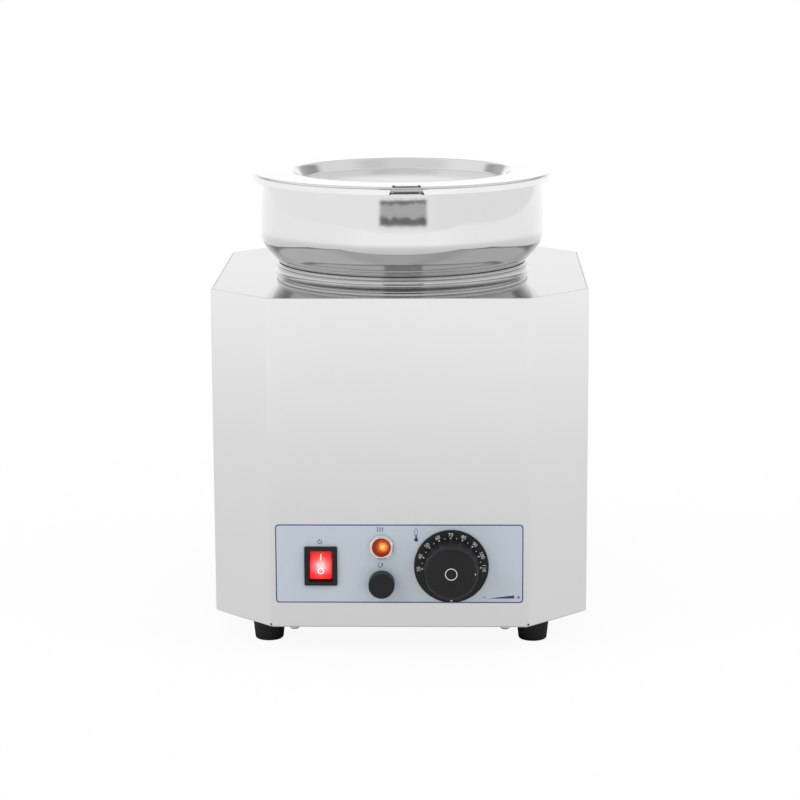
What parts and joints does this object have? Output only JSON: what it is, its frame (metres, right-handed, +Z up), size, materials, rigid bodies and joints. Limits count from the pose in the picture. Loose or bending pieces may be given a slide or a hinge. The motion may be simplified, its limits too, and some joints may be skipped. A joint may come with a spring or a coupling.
{
  "type": "chocolate melter",
  "caption": "Electric bain-marie chocolate melter: octagonal steel body on rubber feet, lift-out bellied pot in a heated well, dished lid with ladle notch, dial, rocker switch and pilot lamp.",
  "frame": {"origin": "floor level under the centre of the body, between the feet", "axes": "+Z up along the pot's axis, front with the controls at -Y, +X to the right of someone facing the controls"},
  "size_m": [0.29, 0.34, 0.356],
  "materials": {
    "shell_steel": "satin stainless",
    "pot_steel": "satin-polished stainless",
    "polished_steel": "mirror-polished stainless",
    "fastener_steel": "bright zinc",
    "foot_rubber": "matt black rubber",
    "black_plastic": "fine-textured black",
    "control_black": "satin black",
    "red_lens": "lit translucent red",
    "amber_lens": "lit translucent amber",
    "bright_ring": "bright plated",
    "label_foil": "printed pale blue-grey foil",
    "moulded_white": "off-white moulding",
    "white_ceramic": "unglazed white",
    "spreader_aluminium": "machined",
    "element_sheath": "heat-tinted sheath",
    "copper": "drawn copper",
    "brass": "plain brass",
    "mineral_wool": "mineral wool"
  },
  "bodies": {
    "housing": {"body_wall": "shell_steel", "rear_panel": "shell_steel", "bottom_plate": "shell_steel", "deck": "polished_steel", "well": "polished_steel", "rear_panel_screws": "fastener_steel", "bottom_screws": "fastener_steel", "foot_screws": "fastener_steel", "foot_nuts": "fastener_steel", "thermostat_screws": "fastener_steel", "terminal_block_screws": "fastener_steel", "heater_stud": "fastener_steel", "heater_nut": "fastener_steel", "bulb_clip": "fastener_steel", "limiter_nut": "fastener_steel", "element_clamp_plate": "fastener_steel", "heat_spreader": "spreader_aluminium", "heating_element": "element_sheath", "insulation_blanket": "mineral_wool", "thermostat_bulb": "copper", "limiter_bulb": "copper", "thermostat_capillary": "copper", "limiter_capillary": "copper", "earth_stud": "brass", "earth_nut": "brass", "switch_terminals": "brass", "control_label": "label_foil", "switch_housing": "control_black", "lamp_bezel": "bright_ring", "lamp_lens": "amber_lens", "lamp_holder": "moulded_white", "lamp_nut": "bright_ring", "limiter_body": "white_ceramic", "thermostat_body": "white_ceramic", "dial_plate": "control_black", "gland_body": "black_plastic", "gland_nut": "black_plastic", "gland_locknut": "black_plastic", "gland_seal": "foot_rubber", "terminal_block": "white_ceramic", "foot_front_left": "foot_rubber", "foot_front_right": "foot_rubber", "foot_rear_left": "foot_rubber", "foot_rear_right": "foot_rubber"},
    "pot": {"pot": "pot_steel"},
    "lid": {"lid": "pot_steel"},
    "knob": {"knob": "control_black", "thermostat_shaft": "fastener_steel"},
    "rocker": {"switch_rocker": "red_lens"},
    "reset_cap": {"reset_cap": "black_plastic"},
    "reset_pin": {"reset_pin": "red_lens"}
  },
  "joints": [
    {"name": "pot_lift", "type": "slide", "parent": "housing", "child": "pot", "axis": [0, 0, 1], "range_m": [0, 0.17]},
    {"name": "lid_lift", "type": "slide", "parent": "pot", "child": "lid", "axis": [0, 0, 1], "range_m": [0, 0.06]},
    {"name": "knob_turn", "type": "hinge", "parent": "housing", "child": "knob", "pos_m": [0.0397, -0.145, 0.069], "axis": [0, -1, 0], "range_deg": [0, 272]},
    {"name": "rocker_tilt", "type": "hinge", "parent": "housing", "child": "rocker", "pos_m": [-0.0599, -0.14025, 0.069], "axis": [1, 0, 0], "range_deg": [0, 18]},
    {"name": "cap_off", "type": "slide", "parent": "housing", "child": "reset_cap", "axis": [0, -1, 0], "range_m": [0, 0.012]},
    {"name": "reset_push", "type": "slide", "parent": "housing", "child": "reset_pin", "axis": [0, 1, 0], "range_m": [0, 0.003], "stiffness_N_per_m": 400, "springref_m": -0.001}
  ]
}
